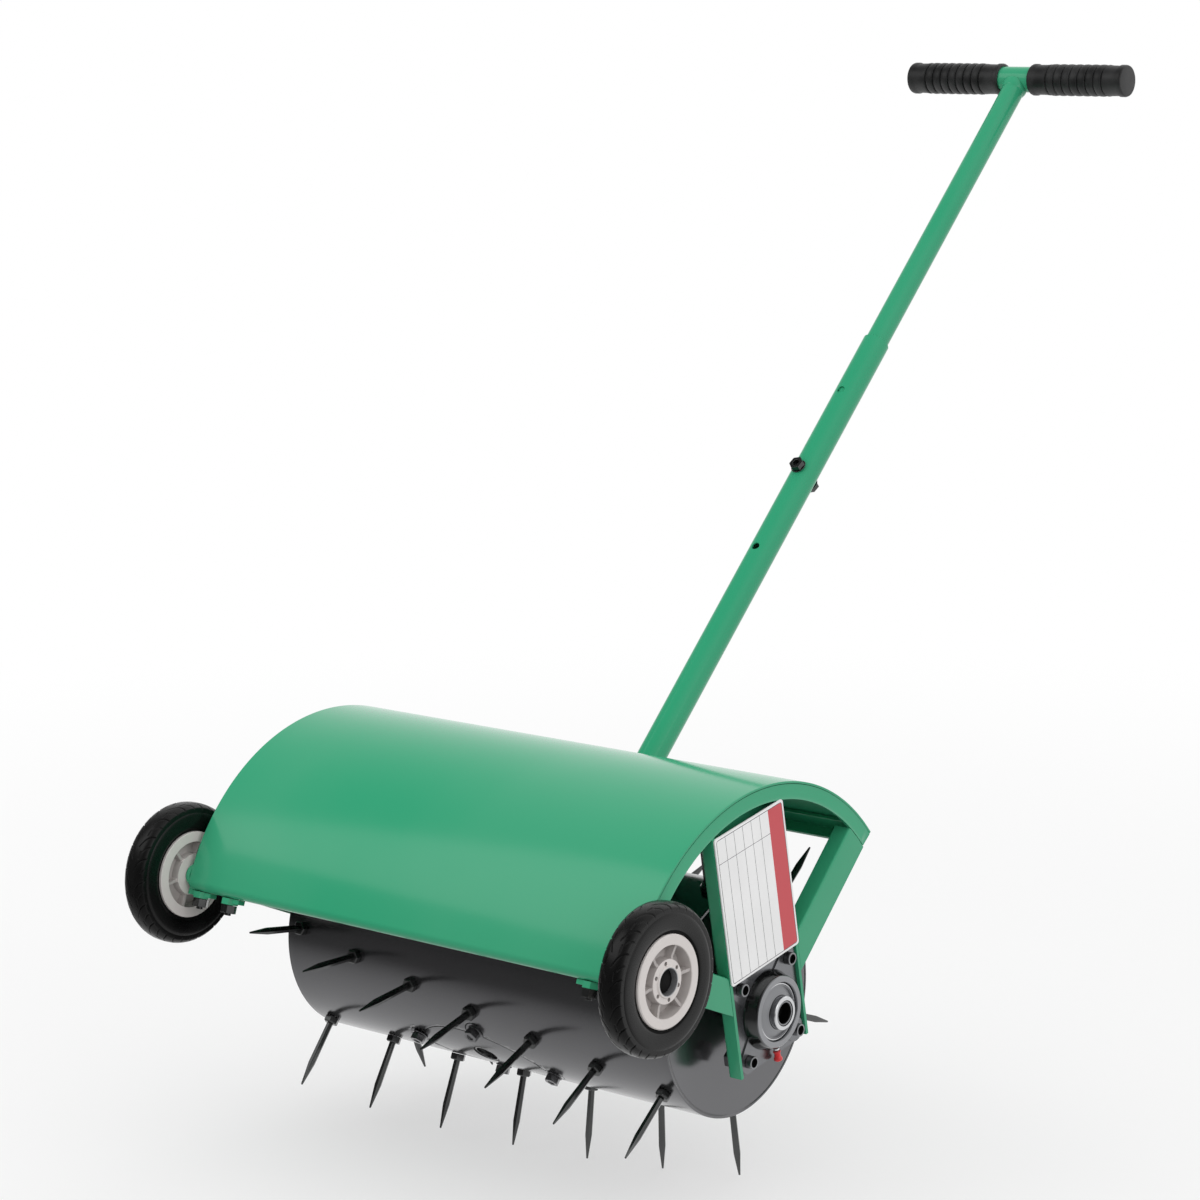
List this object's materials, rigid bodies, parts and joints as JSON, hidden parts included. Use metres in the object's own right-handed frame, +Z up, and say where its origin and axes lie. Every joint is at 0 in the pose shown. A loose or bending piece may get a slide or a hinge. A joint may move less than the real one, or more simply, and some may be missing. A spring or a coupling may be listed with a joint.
{
  "type": "rolling spike aerator",
  "caption": "Hand-pushed lawn aerator: a spiked drum in two flanged bearings under a rolled hood, with transport wheels and a telescopic T-handle.",
  "frame": {"origin": "on the ground, under the middle of the part's bounding box", "axes": "+X along the drum's axis to the right-hand end, +Y to the back, where the handle goes, +Z up"},
  "size_m": [0.5424, 0.9662, 0.9037],
  "materials": {
    "green_paint": "satin",
    "drum_paint": "satin",
    "black_steel": "satin",
    "cast_iron": "rough",
    "bright_steel": "machined",
    "tyre_rubber": "matt",
    "wheel_plastic": "moulded",
    "grip_rubber": "matt",
    "red_plastic": "glossy",
    "label_white": "printed"
  },
  "bodies": {
    "frame": {"hood_sheet": "green_paint", "rear_bar": "green_paint", "handle_base_plate": "green_paint", "base_bolt_left": "green_paint", "base_bolt_right": "green_paint", "lower_tube": "green_paint", "height_bolt": "black_steel", "rim_left": "green_paint", "bearing_strut_left": "green_paint", "front_arm_left": "green_paint", "rear_arm_left": "green_paint", "wheel_bracket_left": "green_paint", "label_plate_left": "label_white", "bearing_housing_left": "cast_iron", "flange_bolt_left_1": "black_steel", "flange_bolt_left_2": "black_steel", "flange_bolt_left_3": "black_steel", "flange_bolt_left_4": "black_steel", "grease_cap_left": "red_plastic", "bracket_bolt_left_1": "black_steel", "bracket_bolt_left_2": "black_steel", "axle_cap_left": "black_steel", "rim_right": "green_paint", "bearing_strut_right": "green_paint", "front_arm_right": "green_paint", "rear_arm_right": "green_paint", "wheel_bracket_right": "green_paint", "label_plate_right": "label_white", "bearing_housing_right": "cast_iron", "flange_bolt_right_1": "black_steel", "flange_bolt_right_2": "black_steel", "flange_bolt_right_3": "black_steel", "flange_bolt_right_4": "black_steel", "grease_cap_right": "red_plastic", "bracket_bolt_right_1": "black_steel", "bracket_bolt_right_2": "black_steel", "axle_cap_right": "black_steel"},
    "drum": {"drum_shell": "drum_paint", "hatch_plate": "drum_paint", "fill_plug": "black_steel", "drum_shaft": "bright_steel", "spike_row_1": "black_steel", "spike_row_2": "black_steel", "spike_row_3": "black_steel", "spike_row_4": "black_steel", "spike_row_5": "black_steel", "spike_row_6": "black_steel", "inner_race_left": "bright_steel", "inner_race_right": "bright_steel", "drum_end_left": "drum_paint", "drum_end_right": "drum_paint"},
    "wheel_left": {"wheel_rim_left": "wheel_plastic", "tyre_left": "tyre_rubber"},
    "wheel_right": {"wheel_rim_right": "wheel_plastic", "tyre_right": "tyre_rubber"},
    "handle_top": {"upper_tube": "green_paint", "cross_tube": "green_paint", "grip_left": "grip_rubber", "grip_right": "grip_rubber"}
  },
  "joints": [
    {"name": "drum_spin", "type": "hinge", "parent": "frame", "child": "drum", "pos_m": [0, -0.25256, 0.1605], "axis": [1, 0, 0], "continuous": true},
    {"name": "wheel_left_spin", "type": "hinge", "parent": "frame", "child": "wheel_left", "pos_m": [-0.2589, -0.42222, 0.22701], "axis": [1, 0, 0], "continuous": true},
    {"name": "wheel_right_spin", "type": "hinge", "parent": "frame", "child": "wheel_right", "pos_m": [0.2589, -0.42222, 0.22701], "axis": [1, 0, 0], "continuous": true},
    {"name": "handle_extend", "type": "slide", "parent": "frame", "child": "handle_top", "axis": [0, 0.7034, 0.7108], "range_m": [0, 0.092]}
  ]
}
